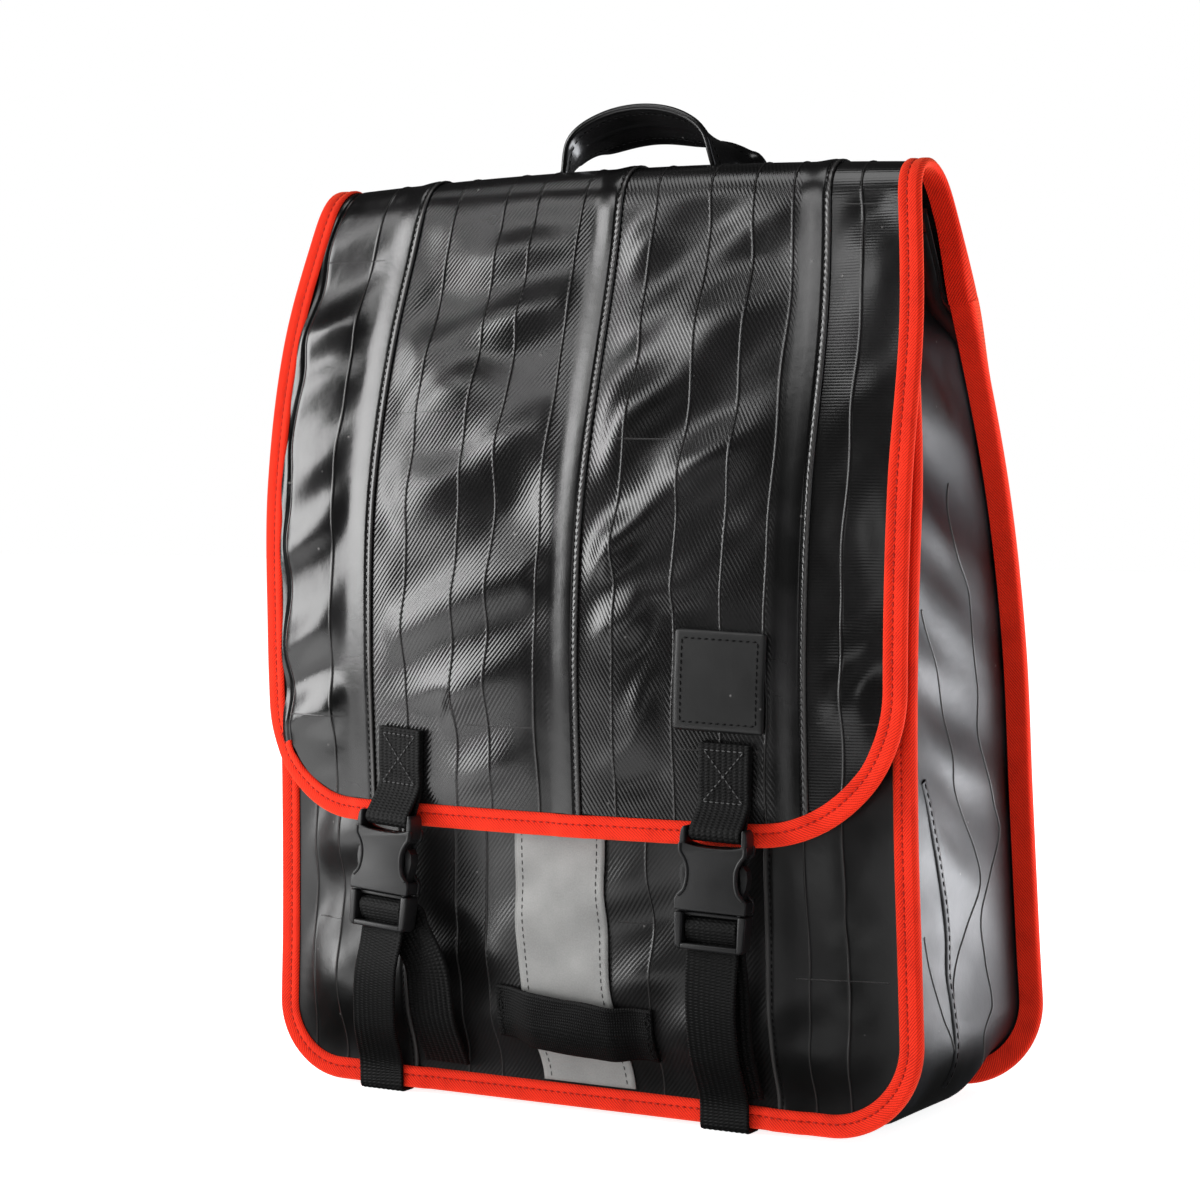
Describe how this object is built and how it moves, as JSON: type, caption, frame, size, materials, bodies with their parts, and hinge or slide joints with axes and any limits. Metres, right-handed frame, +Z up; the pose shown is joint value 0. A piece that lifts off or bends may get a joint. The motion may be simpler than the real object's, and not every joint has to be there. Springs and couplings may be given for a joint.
{
  "type": "backpack",
  "caption": "Upright flap-top backpack sewn from strips of black rubber, bound with red-orange tape and closed by strap buckles.",
  "frame": {"origin": "middle of the bag's flat base, on the floor", "axes": "+X to the right of someone facing the flap, +Y to the back where the shoulder straps are, +Z up"},
  "size_m": [0.3044, 0.1799, 0.4151],
  "materials": {
    "tube_rubber": "satin",
    "edge_tape": "woven matt",
    "webbing": "woven matt",
    "buckle_plastic": "satin",
    "reflective_tape": "satin",
    "elastic": "woven matt",
    "pad_fabric": "woven matt"
  },
  "bodies": {
    "root": {"flap_strip_1": "tube_rubber", "flap_strip_2": "tube_rubber", "flap_strip_3": "tube_rubber", "flap_strip_4": "tube_rubber", "flap_binding": "edge_tape", "front_strip_left": "tube_rubber", "front_strip_middle": "tube_rubber", "front_strip_right": "tube_rubber", "front_binding": "edge_tape", "back_panel": "tube_rubber", "back_binding": "edge_tape", "gusset": "tube_rubber", "reflective_strip": "reflective_tape", "light_loop": "elastic", "patch": "tube_rubber", "tab_left": "webbing", "tab_right": "webbing", "socket_left": "buckle_plastic", "socket_right": "buckle_plastic", "plug_left": "buckle_plastic", "plug_right": "buckle_plastic", "strap_left": "webbing", "strap_right": "webbing", "handle": "tube_rubber", "pad_left": "pad_fabric", "pad_right": "pad_fabric", "webbing_left": "webbing", "webbing_right": "webbing", "slider_left": "buckle_plastic", "slider_right": "buckle_plastic"}
  },
  "joints": []
}
